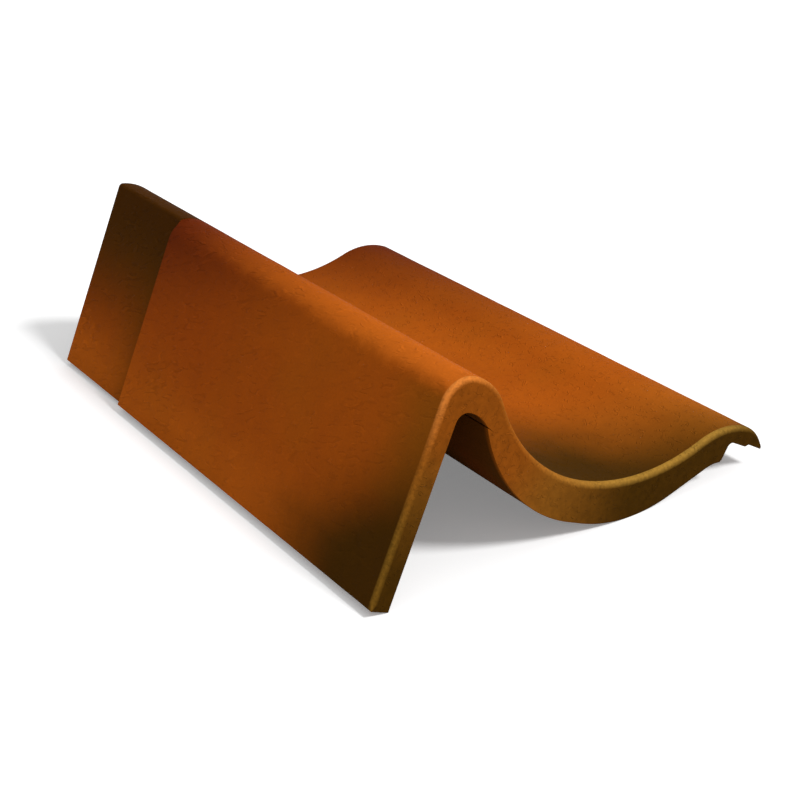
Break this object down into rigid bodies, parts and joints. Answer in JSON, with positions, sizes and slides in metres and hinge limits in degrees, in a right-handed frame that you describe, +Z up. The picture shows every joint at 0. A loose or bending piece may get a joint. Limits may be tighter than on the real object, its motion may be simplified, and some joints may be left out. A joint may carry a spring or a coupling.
{
  "type": "verge tile",
  "caption": "Left-hand verge tile for a pantiled roof: one pan between two rolls, a flat flap along the verge side and a thin side lap along the other.",
  "frame": {"origin": "centre of the bounding box on the level ground that the tile lies on", "axes": "+Y from the tail to the head of the tile, +X from the flap to the side lap, +Z up"},
  "size_m": [0.3144, 0.42, 0.1333],
  "materials": {
    "tile_body": "matt granular face, brindled orange to dark brown"
  },
  "bodies": {
    "root": {"verge_tile": "tile_body"}
  },
  "joints": []
}
